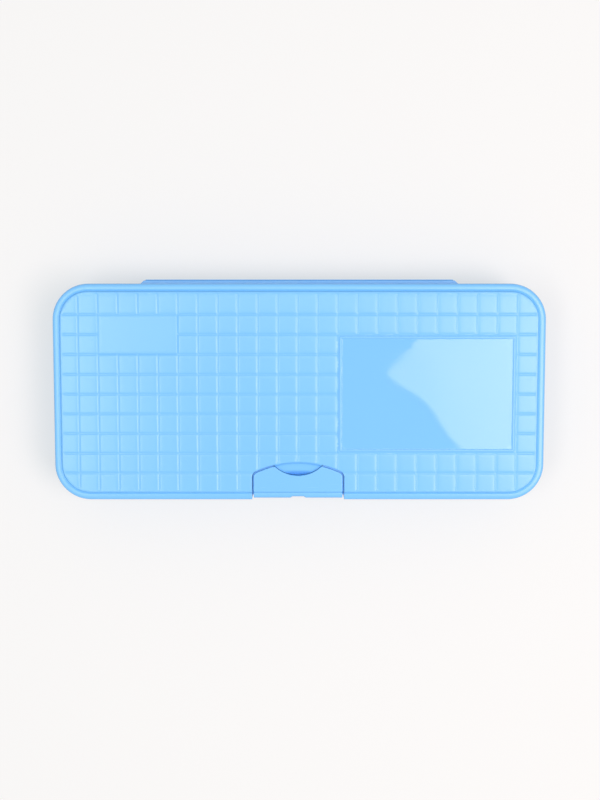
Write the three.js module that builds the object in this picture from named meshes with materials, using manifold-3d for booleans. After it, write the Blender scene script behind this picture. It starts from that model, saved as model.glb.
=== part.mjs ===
// A moulded pencil case: a base tray and a lid joined by a film hinge, with a swinging front latch.
// Millimetres. X runs along the case, Y from the latch to the hinge, Z up from the table.
import * as THREE from "three";
import { mergeVertices } from "three/addons/utils/BufferGeometryUtils.js";
import Module from "manifold-3d";

// Case
const CASE_LENGTH = 205.2;
const CASE_DEPTH = 90.5;
const BASE_HEIGHT = 20;
const LID_HEIGHT = 11.6;
const CORNER_RADIUS = 15;
const WALL = 1.6;
const SEAM = 0.3; // between the lid's edge and the base's edge
const BASE_FLOOR = 1.8;
const BASE_EDGE = 2; // rounding of the underside's edge
const ARC_STEPS = 6;
const ROUND_SIDES = 20;

// Lid top: a band around a raised panel with a grid of grooves
const BAND_WIDTH = 2.9;
const PANEL_RISE = 1;
const PANEL_SLOPE = 0.7;
const RIM_EDGE = 1.2;
const PANEL_THICKNESS = 1.7;
const BAND_THICKNESS = 1.6;
const GRID_PITCH = 8.3;
const GRID_SHIFT = -0.7;
const GRID_ROW_SHIFT = -0.6;
const GRID_MARGIN = 1; // from the grooves' ends to the panel's edge
const GROOVE_WIDTH = 1.1;
const GROOVE_DEPTH = 0.45;
const BEAD_WIDTH = 1.9;
const BEAD_HEIGHT = 0.4;
const BEAD_CORNER = 1.2;

// Lip of the base, which the lid's wall fits around
const LIP_THICKNESS = 1.2;
const LIP_FIT = 0.3;
const LIP_RISE = 2.5;
const LIP_ROOT = 4;

// Partitions moulded in the base
const PARTITION = 1.2;
const PARTITION_DROP = 1; // below the base's edge
const PARTITION_Y = -8;

// Alcove in base and lid that takes the latch
const ALCOVE_X = -0.5;
const ALCOVE_WIDTH = 38.6;
const ALCOVE_CROWN = 16.1; // from the case's front to the top of the arch
const ALCOVE_ARCH_RADIUS = 41.6;
const ALCOVE_CORNER = 1.6;
const ALCOVE_FLOOR = 2.2;
const ALCOVE_GAP = 0.8; // all round the latch

// Latch
const LATCH_SETBACK = 0.7;
const LATCH_SKIRT = 1.7;
const LATCH_PLATE = 2.4;
const LATCH_BAND_PLATE = 1.8;
const SCOOP_RADIUS = 14.2;
const SCOOP_BOTTOM = 10.3; // from the case's front
const CHANNEL_WIDTH = 7.2;
const CHANNEL_SLOPE = 0.8;
const CHANNEL_DEPTH = 0.55;
const CHEEK = 1.3;
const CHEEK_LENGTH = 10.2; // from the case's front, and no further than the alcove's corners
const CHEEK_DROP = 10;
const BARREL_RADIUS = 2.1;
const PIVOT_Z = 6.5;
const PIN_RADIUS = 0.75;
const PIN_FIT = 0.18;
const PIN_SEAT = 1.8; // depth of the pin's blind holes
const PIN_BOSS = 3;
const PIN_END_GAP = 0.2;
const SNAP_RADIUS = 1.6;
const SNAP_PROUD = 0.62;
const SNAP_SOCKET_RADIUS = 2.2;
const SNAP_SOCKET_DEPTH = 0.5;
const SNAP_FROM_FRONT = 6.5;
const SNAP_BELOW_TOP = 5.6;

// Thumb dimple in the lid behind the latch
const DIMPLE_DEPTH = 3.6;
const DIMPLE_FLOOR = 1.8;
const DIMPLE_STEPS = 5;

// Film hinge
const HINGE_LENGTH = 134;
const FLANGE_PROUD = 1.4;
const FLANGE_HEIGHT = 1.25;
const FLANGE_ROOT = 1;
const FILM_THICKNESS = 0.35;
const FILM_SIDE = 2.2; // the film stops this far from the flanges' ends

// The grid fills the panel, and two fields in it stay smooth, each between four of its lines.
const GRID_COLUMNS = Math.round((CASE_LENGTH - 2 * BAND_WIDTH) / GRID_PITCH);
const GRID_ROWS = Math.round((CASE_DEPTH - 2 * BAND_WIDTH) / GRID_PITCH);
const NAME_PLATE = { left: GRID_COLUMNS - 10, right: GRID_COLUMNS - 1, back: 2, front: GRID_ROWS - 2 };
const BLANK_FIELD = { left: 2, right: 6, back: 1, front: 3 };

const PLASTIC = { color: 0x8ed0fb, roughness: 0.28, metalness: 0 };
const STEEL = { color: 0xb9bdc2, roughness: 0.3, metalness: 1 };

const FRONT_Y = -CASE_DEPTH / 2;
const BACK_Y = CASE_DEPTH / 2;
const PANEL_Z = BASE_HEIGHT + LID_HEIGHT;
const BAND_Z = PANEL_Z - PANEL_RISE;
const EDGE_Z = BASE_HEIGHT - SEAM / 2;
const LID_Z = BASE_HEIGHT + SEAM / 2;
const CLEAR = 40; // how far a cutting shape runs past the case
const ARCH_Y = FRONT_Y + ALCOVE_CROWN - ALCOVE_ARCH_RADIUS;
const SCOOP_Y = FRONT_Y + SCOOP_BOTTOM + SCOOP_RADIUS;
const PIVOT_Y = FRONT_Y + LATCH_SETBACK + BARREL_RADIUS;
const LATCH_HALF = ALCOVE_WIDTH / 2 - ALCOVE_GAP;
const LIP_OUTSIDE = WALL + LIP_FIT;
const LIP_INSIDE = LIP_OUTSIDE + LIP_THICKNESS;

const wasm = await Module();
wasm.setup();

// A closed geometry as a solid that can be joined and cut.
function solid(geometry) {
  const bare = geometry.index ? geometry.toNonIndexed() : geometry.clone();
  bare.deleteAttribute("normal");
  bare.deleteAttribute("uv");
  const merged = mergeVertices(bare, 1e-4);
  const vertProperties = merged.attributes.position.array;
  const triVerts = new Uint32Array(merged.index.array);
  return new wasm.Manifold(new wasm.Mesh({ numProp: 3, vertProperties, triVerts }));
}

// A solid as a named mesh with a material of its own.
function piece(name, made, finish) {
  const { vertProperties, triVerts } = made.getMesh();
  const geometry = new THREE.BufferGeometry();
  geometry.setAttribute("position", new THREE.BufferAttribute(vertProperties, 3));
  geometry.setIndex(new THREE.BufferAttribute(triVerts, 1));
  geometry.computeVertexNormals();
  const mesh = new THREE.Mesh(geometry, new THREE.MeshStandardMaterial(finish));
  mesh.name = name;
  return mesh;
}

function block(low, high) {
  const size = [0, 1, 2].map((i) => high[i] - low[i]);
  const geometry = new THREE.BoxGeometry(...size);
  geometry.translate(...[0, 1, 2].map((i) => (low[i] + high[i]) / 2));
  return solid(geometry);
}

// An outline in plan raised from one height to another.
function prism(shape, low, high) {
  const settings = { depth: high - low, bevelEnabled: false, curveSegments: ARC_STEPS };
  return solid(new THREE.ExtrudeGeometry(shape, settings).translate(0, 0, low));
}

// The same with its top edge rounded or sloped, by size in plan and by rise in height.
function crowned(shape, low, high, size, rise, steps) {
  const geometry = new THREE.ExtrudeGeometry(shape, {
    depth: high - low,
    bevelEnabled: true,
    bevelThickness: rise,
    bevelSize: size,
    bevelOffset: -size,
    bevelSegments: steps,
    curveSegments: ARC_STEPS,
  });
  return solid(geometry.translate(0, 0, low - rise)).trimByPlane([0, 0, 1], low);
}

// An outline in the YZ plane, carried along X between two places.
function rib(points, left, right) {
  const shape = new THREE.Shape(points.map(([y, z]) => new THREE.Vector2(y, z)));
  const geometry = new THREE.ExtrudeGeometry(shape, { depth: right - left, bevelEnabled: false });
  geometry.rotateY(Math.PI / 2).rotateX(Math.PI / 2);
  return solid(geometry.translate(left, 0, 0));
}

function rod(radius, left, right, y, z, sides) {
  const geometry = new THREE.CylinderGeometry(radius, radius, right - left, sides);
  geometry.rotateZ(Math.PI / 2);
  return solid(geometry.translate((left + right) / 2, y, z));
}

function joined(solids) {
  return solids.reduce((whole, next) => whole.add(next));
}

// The case's outline in plan, moved in by an inset.
function caseOutline(inset) {
  const radius = CORNER_RADIUS - inset;
  const x = CASE_LENGTH / 2 - CORNER_RADIUS;
  const y = CASE_DEPTH / 2 - CORNER_RADIUS;
  const quarter = Math.PI / 2;
  const shape = new THREE.Shape();
  shape.absarc(x, y, radius, 0, quarter);
  shape.absarc(-x, y, radius, quarter, 2 * quarter);
  shape.absarc(-x, -y, radius, 2 * quarter, 3 * quarter);
  shape.absarc(x, -y, radius, 3 * quarter, 4 * quarter);
  shape.closePath();
  return shape;
}

// The alcove's outline in plan, moved out by a margin: two sides, two small corners and a wide arch.
function alcoveOutline(margin) {
  const side = ALCOVE_WIDTH / 2 + margin;
  const arch = ALCOVE_ARCH_RADIUS + margin;
  const corner = ALCOVE_CORNER + margin;
  const cornerX = side - corner;
  const cornerRise = Math.sqrt((arch - corner) ** 2 - cornerX ** 2);
  const lean = Math.atan2(cornerRise, cornerX);
  const shape = new THREE.Shape();
  shape.moveTo(ALCOVE_X - side, FRONT_Y - CLEAR);
  shape.lineTo(ALCOVE_X + side, FRONT_Y - CLEAR);
  shape.absarc(ALCOVE_X + cornerX, ARCH_Y + cornerRise, corner, 0, lean);
  shape.absarc(ALCOVE_X, ARCH_Y, arch, lean, Math.PI - lean);
  shape.absarc(ALCOVE_X - cornerX, ARCH_Y + cornerRise, corner, Math.PI - lean, Math.PI);
  shape.closePath();
  return shape;
}

function alcove(margin, low) {
  return prism(alcoveOutline(margin), low, PANEL_Z + CLEAR);
}

function scoopOutline(radius) {
  const shape = new THREE.Shape();
  for (let i = 0; i < 4; i += 1) {
    shape.absarc(ALCOVE_X, SCOOP_Y, radius, (i * Math.PI) / 2, ((i + 1) * Math.PI) / 2);
  }
  shape.closePath();
  return shape;
}

const columnX = (line) => GRID_SHIFT + (line - GRID_COLUMNS / 2) * GRID_PITCH;
const rowY = (line) => GRID_ROW_SHIFT + (GRID_ROWS / 2 - line) * GRID_PITCH;

// Where a field of the grid stays smooth, as a range of places along the lines that cross it.
function gapsAlongColumn(line) {
  const crossed = [NAME_PLATE, BLANK_FIELD].filter((field) => line > field.left && line < field.right);
  return crossed.map((field) => [rowY(field.front), rowY(field.back)]);
}

function gapsAlongRow(line) {
  const crossed = [NAME_PLATE, BLANK_FIELD].filter((field) => line > field.back && line < field.front);
  return crossed.map((field) => [columnX(field.left), columnX(field.right)]);
}

// The stretches of a line from end to end that lie outside its gaps.
function stretches(end, gaps) {
  const stops = [-end, ...gaps.flat().sort((a, b) => a - b), end];
  const runs = [];
  for (let i = 0; i < stops.length; i += 2) {
    runs.push([stops[i], stops[i + 1]]);
  }
  return runs;
}

// A groove with a V section along X, centred on y.
function groove(from, to, y) {
  const half = GROOVE_WIDTH / 2;
  const slope = GROOVE_DEPTH / half;
  const top = PANEL_Z + slope * half;
  const outer = 2 * half;
  return rib([[y - outer, top], [y, PANEL_Z - GROOVE_DEPTH], [y + outer, top]], from, to);
}

function grooves() {
  const cuts = [];
  for (let line = 1; line < GRID_ROWS; line += 1) {
    for (const [from, to] of stretches(CASE_LENGTH / 2, gapsAlongRow(line))) {
      cuts.push(groove(from, to, rowY(line)));
    }
  }
  for (let line = 1; line < GRID_COLUMNS; line += 1) {
    for (const [from, to] of stretches(CASE_DEPTH / 2, gapsAlongColumn(line))) {
      const along = groove(from, to, 0).rotate([0, 0, 90]);
      cuts.push(along.translate([columnX(line), 0, 0]));
    }
  }
  const field = prism(caseOutline(BAND_WIDTH + GRID_MARGIN), BAND_Z, PANEL_Z + CLEAR);
  return joined(cuts).intersect(field);
}

function chamferedRectangle(left, right, front, back, corner) {
  const points = [
    [left + corner, front],
    [right - corner, front],
    [right, front + corner],
    [right, back - corner],
    [right - corner, back],
    [left + corner, back],
    [left, back - corner],
    [left, front + corner],
  ];
  return points.map(([x, y]) => new THREE.Vector2(x, y));
}

// The raised bead around the name plate.
function plateBead() {
  const margin = GROOVE_WIDTH / 2;
  const sides = [
    columnX(NAME_PLATE.left) + margin,
    columnX(NAME_PLATE.right) - margin,
    rowY(NAME_PLATE.front) + margin,
    rowY(NAME_PLATE.back) - margin,
  ];
  const inner = sides.map((side, i) => side + (i % 2 ? -BEAD_WIDTH : BEAD_WIDTH));
  const shape = new THREE.Shape(chamferedRectangle(...sides, BEAD_CORNER));
  shape.holes.push(new THREE.Path(chamferedRectangle(...inner, BEAD_CORNER / 2)));
  return prism(shape, PANEL_Z - PANEL_THICKNESS / 2, PANEL_Z + BEAD_HEIGHT);
}

// The part of the lid that fills the latch's finger scoop, hollowed for a thumb.
function thumbDimple() {
  const tongueRadius = SCOOP_RADIUS - ALCOVE_GAP;
  const low = PANEL_Z - DIMPLE_DEPTH - DIMPLE_FLOOR;
  const tongue = prism(scoopOutline(tongueRadius), low, PANEL_Z);
  const reach = ARCH_Y + ALCOVE_ARCH_RADIUS - (SCOOP_Y - tongueRadius);
  const profile = [];
  for (let i = 0; i <= DIMPLE_STEPS; i += 1) {
    const share = i / DIMPLE_STEPS;
    const depth = DIMPLE_DEPTH * Math.sin((share * Math.PI) / 2);
    profile.push([ALCOVE_ARCH_RADIUS - reach * share, PANEL_Z - depth]);
  }
  profile.push([profile.at(-1)[0] - reach, PANEL_Z - DIMPLE_DEPTH]);
  profile.push([profile.at(-1)[0], PANEL_Z + reach]);
  profile.push([ALCOVE_ARCH_RADIUS, PANEL_Z + reach]);
  profile.push(profile[0]);
  const points = profile.reverse().map(([radius, z]) => new THREE.Vector2(radius, z));
  const hollow = new THREE.LatheGeometry(points, 4 * ROUND_SIDES).rotateX(Math.PI / 2);
  const cut = solid(hollow.translate(ALCOVE_X, ARCH_Y, 0));
  return tongue.intersect(alcove(WALL / 2, low)).subtract(cut);
}

// One of the two strips that carry the hinge's film, in plan with slanted ends.
function hingeFlange(low, high) {
  const half = HINGE_LENGTH / 2;
  const tip = BACK_Y + FLANGE_PROUD;
  const shape = new THREE.Shape();
  shape.moveTo(-half - FLANGE_ROOT, BACK_Y - FLANGE_ROOT);
  shape.lineTo(half + FLANGE_ROOT, BACK_Y - FLANGE_ROOT);
  shape.lineTo(half - FLANGE_PROUD, tip);
  shape.lineTo(-half + FLANGE_PROUD, tip);
  shape.closePath();
  return prism(shape, low, high);
}

// One snap ball for each side of the latch, its tip at a distance from the alcove's centre line.
function snapBalls(radius, tip, trim) {
  const y = FRONT_Y + SNAP_FROM_FRONT;
  const z = PANEL_Z - SNAP_BELOW_TOP;
  return [-1, 1].map((side) => {
    const ball = new THREE.SphereGeometry(radius, ROUND_SIDES, ROUND_SIDES / 2);
    ball.translate(ALCOVE_X + side * (tip - radius), y, z);
    return solid(ball).trimByPlane([side, 0, 0], side * ALCOVE_X + trim);
  });
}

function lid() {
  const rim = crowned(caseOutline(0), LID_Z, BAND_Z, RIM_EDGE, RIM_EDGE, 4);
  const panel = crowned(
    caseOutline(BAND_WIDTH), BAND_Z - BAND_THICKNESS, PANEL_Z, PANEL_SLOPE, PANEL_RISE, 1,
  );
  const lowRoom = prism(caseOutline(WALL), LID_Z - CLEAR, BAND_Z - BAND_THICKNESS);
  const highInset = BAND_WIDTH + PANEL_THICKNESS;
  const highRoom = prism(caseOutline(highInset), LID_Z - CLEAR, PANEL_Z - PANEL_THICKNESS);
  const room = lowRoom.add(highRoom).subtract(alcove(WALL, LID_Z - 2 * CLEAR));
  const shell = rim.add(panel).subtract(room).subtract(alcove(0, LID_Z - 2 * CLEAR));
  const flange = hingeFlange(LID_Z, LID_Z + FLANGE_HEIGHT);
  const sockets = snapBalls(
    SNAP_SOCKET_RADIUS, ALCOVE_WIDTH / 2 + SNAP_SOCKET_DEPTH, LATCH_HALF,
  );
  const solids = [shell, thumbDimple(), plateBead(), flange.subtract(room)];
  return joined(solids).subtract(grooves()).subtract(joined(sockets));
}

function partitions() {
  const top = EDGE_Z - PARTITION_DROP;
  const half = PARTITION / 2;
  const long = block(
    [-CASE_LENGTH / 2, PARTITION_Y - half, 0], [CASE_LENGTH / 2, PARTITION_Y + half, top],
  );
  const side = ALCOVE_WIDTH / 2 + WALL - half; // in line with the alcove's side walls
  const cross = [ALCOVE_X - side, ALCOVE_X + side].map((x) =>
    block([x - half, FRONT_Y, 0], [x + half, PARTITION_Y, top]),
  );
  return joined([long, ...cross]);
}

// The blocks behind the alcove's sides that hold the pin's ends.
function pinBosses() {
  const side = ALCOVE_WIDTH / 2;
  return [-1, 1].map((way) => {
    const ends = [ALCOVE_X + way * side, ALCOVE_X + way * (side + PIN_BOSS)];
    return block(
      [Math.min(...ends), FRONT_Y + WALL / 2, BASE_FLOOR / 2],
      [Math.max(...ends), PIVOT_Y + 2 * BARREL_RADIUS, PIVOT_Z + 2 * BARREL_RADIUS],
    );
  });
}

function baseTray() {
  const turned = crowned(caseOutline(0), -EDGE_Z, 0, BASE_EDGE, BASE_EDGE, 4);
  const outside = turned.mirror([0, 0, 1]).subtract(alcove(0, ALCOVE_FLOOR));
  const lipBottom = EDGE_Z - LIP_ROOT;
  const lipTop = BASE_HEIGHT + LIP_RISE;
  const lip = prism(caseOutline(LIP_OUTSIDE), lipBottom, lipTop);
  const shell = outside.add(lip.subtract(alcove(LIP_OUTSIDE, 0)));
  const lowRoom = prism(caseOutline(WALL), BASE_FLOOR, lipBottom).subtract(alcove(WALL, 0));
  const highRoom = prism(caseOutline(LIP_INSIDE), BASE_FLOOR, lipTop + CLEAR);
  const room = lowRoom.add(highRoom.subtract(alcove(LIP_INSIDE, 0)));
  const flange = hingeFlange(EDGE_Z - FLANGE_HEIGHT, EDGE_Z);
  const walls = shell.subtract(room.subtract(partitions()));
  const reach = ALCOVE_WIDTH / 2 + PIN_SEAT;
  const hole = rod(
    PIN_RADIUS + PIN_FIT, ALCOVE_X - reach, ALCOVE_X + reach, PIVOT_Y, PIVOT_Z, ROUND_SIDES,
  );
  return joined([walls, flange.subtract(room), ...pinBosses()]).subtract(hole);
}

function latchTop() {
  const front = FRONT_Y + LATCH_SETBACK;
  const outline = alcoveOutline(-ALCOVE_GAP);
  const plate = prism(outline, PANEL_Z - LATCH_PLATE, PANEL_Z)
    .trimByPlane([0, 1, 0], FRONT_Y + BAND_WIDTH);
  const band = prism(outline, BAND_Z - LATCH_BAND_PLATE, BAND_Z).trimByPlane([0, 1, 0], front);
  const y = FRONT_Y + BAND_WIDTH;
  const above = [[y, BAND_Z], [y + PANEL_SLOPE, PANEL_Z], [y, PANEL_Z + PANEL_RISE]];
  const slope = rib([...above, [y - CLEAR, PANEL_Z + PANEL_RISE], [y - CLEAR, BAND_Z]], -CLEAR, CLEAR);
  const frontEdge = crowned(caseOutline(LATCH_SETBACK), 0, BAND_Z, RIM_EDGE, RIM_EDGE, 4);
  const rounded = band.intersect(frontEdge);
  const scoop = prism(scoopOutline(SCOOP_RADIUS), BASE_HEIGHT, PANEL_Z + CLEAR);
  return plate.subtract(slope).add(rounded).subtract(scoop);
}

function latch() {
  const left = ALCOVE_X - LATCH_HALF;
  const right = ALCOVE_X + LATCH_HALF;
  const front = FRONT_Y + LATCH_SETBACK;
  const inside = front + LATCH_SKIRT;
  const under = PANEL_Z - LATCH_PLATE;
  const skirt = block([left, front, PIVOT_Z], [right, inside, BAND_Z - LATCH_BAND_PLATE / 2]);
  const barrel = rod(BARREL_RADIUS, left, right, PIVOT_Y, PIVOT_Z, ROUND_SIDES);
  const cheek = [
    [inside - LATCH_SKIRT / 2, under + LATCH_PLATE / 2],
    [inside - LATCH_SKIRT / 2, under - CHEEK_DROP],
    [inside + LATCH_SKIRT, under - CHEEK_DROP],
    [FRONT_Y + CHEEK_LENGTH, under - LATCH_PLATE],
    [FRONT_Y + CHEEK_LENGTH, under + LATCH_PLATE / 2],
  ];
  const outline = prism(alcoveOutline(-ALCOVE_GAP), 0, PANEL_Z);
  const ribs = [rib(cheek, left, left + CHEEK), rib(cheek, right - CHEEK, right)];
  const cheeks = ribs.map((made) => made.intersect(outline));
  const snaps = snapBalls(SNAP_RADIUS, LATCH_HALF + SNAP_PROUD, LATCH_HALF - CHEEK / 2);
  const half = CHANNEL_WIDTH / 2;
  const flare = new THREE.Shape([
    new THREE.Vector2(ALCOVE_X - half - CHANNEL_SLOPE, front - CHANNEL_DEPTH),
    new THREE.Vector2(ALCOVE_X + half + CHANNEL_SLOPE, front - CHANNEL_DEPTH),
    new THREE.Vector2(ALCOVE_X + half - CHANNEL_SLOPE, front + CHANNEL_DEPTH),
    new THREE.Vector2(ALCOVE_X - half + CHANNEL_SLOPE, front + CHANNEL_DEPTH),
  ]);
  const channel = prism(flare, 0, PANEL_Z);
  const bore = rod(
    PIN_RADIUS + PIN_FIT, left - CLEAR, right + CLEAR, PIVOT_Y, PIVOT_Z, ROUND_SIDES,
  );
  const solids = [latchTop(), skirt, barrel, ...cheeks, ...snaps];
  return joined(solids).subtract(channel).subtract(bore);
}

function latchPin() {
  const reach = ALCOVE_WIDTH / 2 + PIN_SEAT - PIN_END_GAP;
  return rod(PIN_RADIUS, ALCOVE_X - reach, ALCOVE_X + reach, PIVOT_Y, PIVOT_Z, ROUND_SIDES);
}

// The thin film that bends between the two flanges.
function hingeFilm() {
  const half = HINGE_LENGTH / 2 - FILM_SIDE;
  const face = BACK_Y + FLANGE_PROUD;
  return block(
    [-half, face, EDGE_Z - FLANGE_HEIGHT], [half, face + FILM_THICKNESS, LID_Z + FLANGE_HEIGHT],
  );
}

const pencilCase = new THREE.Group();
pencilCase.add(piece("base_tray", baseTray(), PLASTIC));
pencilCase.add(piece("lid", lid(), PLASTIC));
pencilCase.add(piece("hinge_film", hingeFilm(), PLASTIC));
pencilCase.add(piece("latch", latch(), PLASTIC));
pencilCase.add(piece("latch_pin", latchPin(), STEEL));

// The origin is the middle of the overall footprint, on the table.
pencilCase.position.y = -(FLANGE_PROUD + FILM_THICKNESS) / 2;

export default pencilCase;
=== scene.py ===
"""A moulded pencil case with a gridded lid, a front latch and a film hinge, on a pale studio floor."""

import math

import bpy
import numpy as np
from mathutils import Matrix, Vector, geometry


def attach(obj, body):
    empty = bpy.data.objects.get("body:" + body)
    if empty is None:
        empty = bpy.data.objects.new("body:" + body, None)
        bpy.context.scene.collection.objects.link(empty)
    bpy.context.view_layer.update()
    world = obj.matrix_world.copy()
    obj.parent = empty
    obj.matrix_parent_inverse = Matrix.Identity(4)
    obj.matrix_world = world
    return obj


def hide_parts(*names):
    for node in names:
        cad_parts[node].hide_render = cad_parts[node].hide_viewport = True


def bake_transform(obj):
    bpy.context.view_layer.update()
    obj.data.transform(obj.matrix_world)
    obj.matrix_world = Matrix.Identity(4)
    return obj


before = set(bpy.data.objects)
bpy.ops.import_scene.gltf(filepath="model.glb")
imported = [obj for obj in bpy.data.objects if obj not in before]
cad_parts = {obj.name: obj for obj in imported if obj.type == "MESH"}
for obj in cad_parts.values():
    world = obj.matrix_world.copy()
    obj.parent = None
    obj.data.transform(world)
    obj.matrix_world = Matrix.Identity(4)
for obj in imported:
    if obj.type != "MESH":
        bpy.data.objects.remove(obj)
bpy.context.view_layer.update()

# Dimensions in millimetres. X along the case, Y from latch to hinge, Z up.
# The main sizes are those of the part's source. Grooves, bead, roundings, gaps and the latch's small parts
# are drawn finer here.

# Case
CASE_LENGTH = 205.2
CASE_DEPTH = 90.5
BASE_HEIGHT = 20
LID_HEIGHT = 11.6
CORNER_RADIUS = 15
WALL = 1.6
SEAM = 0.3
BASE_FLOOR = 1.8
BASE_EDGE = 2

# Lid
BAND_WIDTH = 2.9
PANEL_RISE = 1
PANEL_SLOPE = 0.7
RIM_EDGE = 1.2
PANEL_THICKNESS = 1.7
BAND_THICKNESS = 1.6
GRID_PITCH = 8.3
GRID_SHIFT = -0.7
GRID_ROW_SHIFT = -0.6
GRID_COLUMNS = 24
GRID_ROWS = 10
GROOVE_WIDTH = 1.1
GROOVE_DEPTH = 0.17
CELL_FALL = 0.032  # how fast a cell's border falls towards its grooves
CELL_BORDER = 1.7
STEP_LINE_WIDTH = 0.9
STEP_LINE_DEPTH = 0.24  # depth of the line at the foot of the panel's step
FLUSH_EDGE = 0.35  # rounding of the edges that meet the latch

# Name plate: its bead, a slight swelling in its middle, and a slow wave along its rear half
BEAD_WIDTH = 1.3
BEAD_HEIGHT = 0.32
BEAD_CORNER = 1.2
BEAD_FLANK = 0.45
SWELL_X = 58
SWELL_Y = 2
SWELL_RADIUS = 9
SWELL_HEIGHT = 0.09
SAG_DEPTH = 0.09
SAG_X = 46
SAG_LENGTH = 75
SAG_Y = 4
SAG_REACH = 22
PLATE_EASE = 2.5  # how far in from the bead the unevenness grows to its full amount

# Lip, partitions and bosses of the tray
LIP_THICKNESS = 1.2
LIP_FIT = 0.3
LIP_RISE = 2.5
LIP_ROOT = 4
PARTITION = 1.2
PARTITION_DROP = 1
PARTITION_Y = -8
PARTITION_CLEAR = 0.06  # keeps the short partitions' faces off the alcove's walls
PIN_BOSS = 3

# Alcove
ALCOVE_X = -0.5
ALCOVE_WIDTH = 38.6
ALCOVE_CROWN = 16.1
ALCOVE_ARCH_RADIUS = 41.6
ALCOVE_CORNER = 2.8
ALCOVE_FLOOR = 2.2
ALCOVE_GAP = 0.65
TONGUE_GAP = 0.12  # the gap in the scoop, round the lid's tongue
NOSE = 0.4  # rounding where the alcove meets the front
CAVITY_NOSE = 1.2

# Latch
LATCH_SETBACK = 0.7
LATCH_SKIRT = 1.7
LATCH_PLATE = 2.4
LATCH_BAND_PLATE = 1.8
LATCH_STEP_LINE = 0.08  # depth of the fainter line at the foot of the latch's step
SCOOP_RADIUS = 14.2
SCOOP_BOTTOM = 10.3
CHANNEL_WIDTH = 6.4
CHANNEL_SLOPE = 0.8
CHANNEL_DEPTH = 0.55
CHEEK = 1.3
CHEEK_LENGTH = 8.8
CHEEK_DROP = 10
BARREL_RADIUS = 2.1
PIVOT_Z = 6.5
PIN_RADIUS = 0.75
PIN_SEAT = 1.8
PIN_END_GAP = 0.2
SNAP_RADIUS = 1.6
SNAP_PROUD = 0.5
SNAP_FROM_FRONT = 6.5
SNAP_BELOW_TOP = 5.6
REBATE_DEPTH = 1.6  # how far the rebate round the latch lies below its top
REBATE_THICKNESS = 0.7
REBATE_GAP = 0.15

# Thumb dimple: a narrow crease along the arch, a gentle fall, and a steeper one to the tongue's tip
DIMPLE_DEPTH = 3.6
DIMPLE_FLOOR = 1.8
CREASE_SHARE = 0.35
CREASE_WIDTH = 1.3
FALL_SHARE = 0.15
TIP_SHARE = 0.45

# Film hinge
HINGE_LENGTH = 134
FLANGE_PROUD = 1.4
FLANGE_HEIGHT = 1.25
FLANGE_ROOT = 1
FLANGE_EDGE = 0.25
FILM_THICKNESS = 0.35
FILM_SIDE = 2.2

FRONT_Y = -CASE_DEPTH / 2
BACK_Y = CASE_DEPTH / 2
PANEL_Z = BASE_HEIGHT + LID_HEIGHT
BAND_Z = PANEL_Z - PANEL_RISE
EDGE_Z = BASE_HEIGHT - SEAM / 2
LID_Z = BASE_HEIGHT + SEAM / 2
ARCH_Y = FRONT_Y + ALCOVE_CROWN - ALCOVE_ARCH_RADIUS
SCOOP_Y = FRONT_Y + SCOOP_BOTTOM + SCOOP_RADIUS
LATCH_FRONT = FRONT_Y + LATCH_SETBACK
PIVOT_Y = LATCH_FRONT + BARREL_RADIUS
LATCH_HALF = ALCOVE_WIDTH / 2 - ALCOVE_GAP
TONGUE_RADIUS = SCOOP_RADIUS - TONGUE_GAP
TONGUE_LOW = PANEL_Z - DIMPLE_DEPTH - DIMPLE_FLOOR
LIP_OUTSIDE = WALL + LIP_FIT
LIP_INSIDE = LIP_OUTSIDE + LIP_THICKNESS
ROW_Y = -(FLANGE_PROUD + FILM_THICKNESS) / 2  # from the case's middle to the shared frame's origin

MM = 0.001


# ---- meshes ----

def placed(name, data):
    """A new object in the scene."""
    made = bpy.data.objects.new(name, data)
    bpy.context.scene.collection.objects.link(made)
    return made


class Shell:
    """Points in millimetres and faces of one piece, built row by row."""

    def __init__(self):
        self.points = []
        self.faces = []

    def add(self, points):
        first = len(self.points)
        self.points.extend(tuple(point) for point in points)
        return list(range(first, len(self.points)))

    def face(self, corners):
        kept = []
        for corner in corners:
            if corner not in kept:
                kept.append(corner)
        if len(kept) > 2:
            self.faces.append(kept)

    def strip(self, first, second):
        """Faces between two rows, both anticlockwise from above, the second further in, over or up."""
        for i in range(len(first)):
            j = (i + 1) % len(first)
            self.face([first[i], first[j], second[j], second[i]])

    def loft(self, rows):
        """Faces through several rows of points, and the first and last row's numbers."""
        numbers = [self.add(row) for row in rows]
        for first, second in zip(numbers, numbers[1:]):
            self.strip(first, second)
        return numbers[0], numbers[-1]

    def close(self, row, turned=False):
        """One face over a whole row."""
        self.faces.append(list(reversed(row)) if turned else list(row))

    def solid(self, rows):
        """Faces through several rows, with both ends closed."""
        first, last = self.loft(rows)
        self.close(first, turned=True)
        self.close(last)
        return self

    def build(self, name, sharp_angle=35):
        """The finished object, in metres in the shared frame, shaded smooth but for its sharp edges."""
        mesh = bpy.data.meshes.new(name)
        points = np.array(self.points, float)
        points[:, 1] += ROW_Y
        mesh.from_pydata((points * MM).tolist(), [], self.faces)
        mesh.validate()
        mesh.shade_smooth()
        mesh.set_sharp_from_angle(angle=math.radians(sharp_angle))
        return placed(name, mesh)


def even(first, last, count):
    """Count places from first to last, with both ends."""
    return [first + (last - first) * i / (count - 1) for i in range(count)]


def arc(x, y, radius, first, last, count):
    """Points on a circle, between two angles in degrees."""
    angles = [math.radians(angle) for angle in even(first, last, count)]
    return [(x + radius * math.cos(angle), y + radius * math.sin(angle)) for angle in angles]


def at_height(outline, z):
    return [(x, y, z) for x, y in outline]


# ---- outlines in plan ----

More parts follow.
